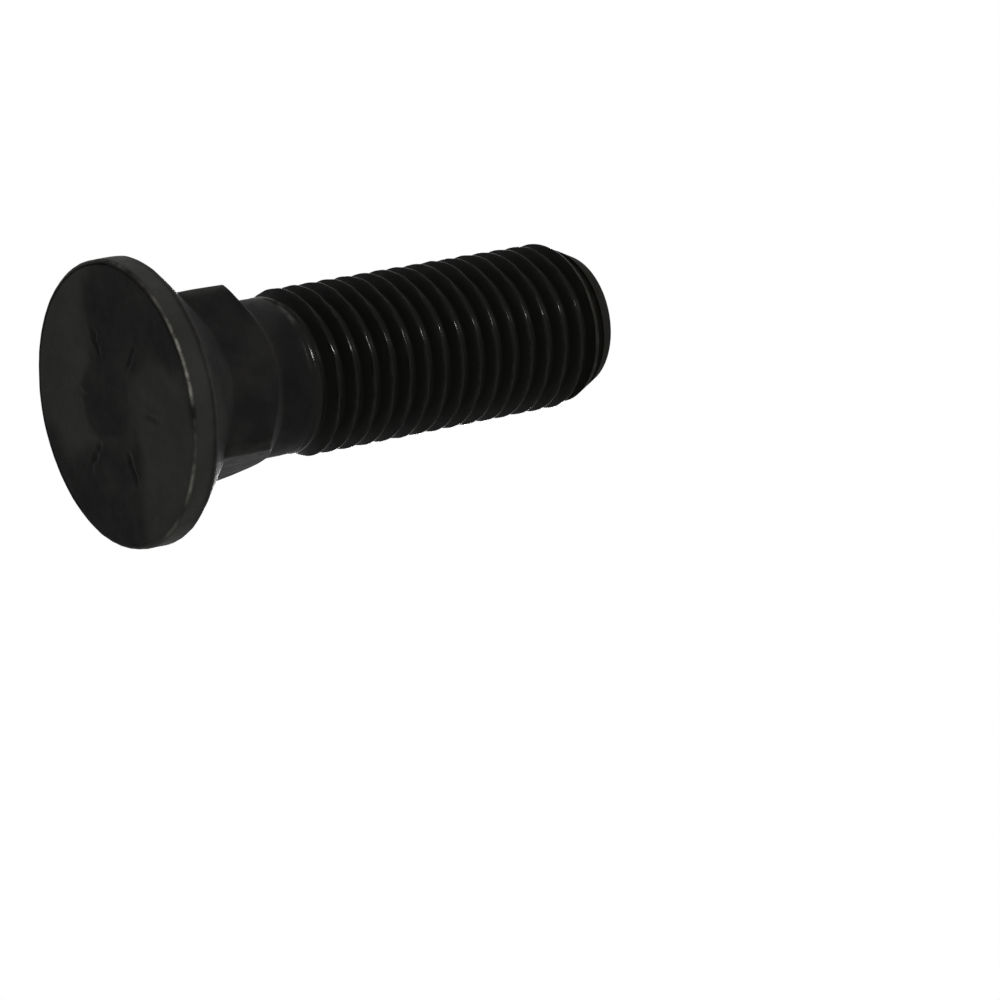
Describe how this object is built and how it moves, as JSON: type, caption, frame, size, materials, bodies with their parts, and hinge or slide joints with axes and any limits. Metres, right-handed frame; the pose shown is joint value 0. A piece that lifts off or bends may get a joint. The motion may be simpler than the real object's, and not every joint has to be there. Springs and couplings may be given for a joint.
{
  "type": "plow bolt",
  "caption": "Black countersunk plow bolt with a flat round head, a square neck that stops it turning, and a threaded shank.",
  "frame": {"origin": "centre of the head's outer face, from which the bolt's length is measured", "axes": "+Z along the shank from the head to the threaded end, X and Y square to the flats of the neck"},
  "size_m": [0.042, 0.042, 0.0825],
  "materials": {
    "black_steel": "blackened forged steel, dull on the head and neck and oily on the thread"
  },
  "bodies": {
    "root": {"plow_bolt": "black_steel"}
  },
  "joints": []
}
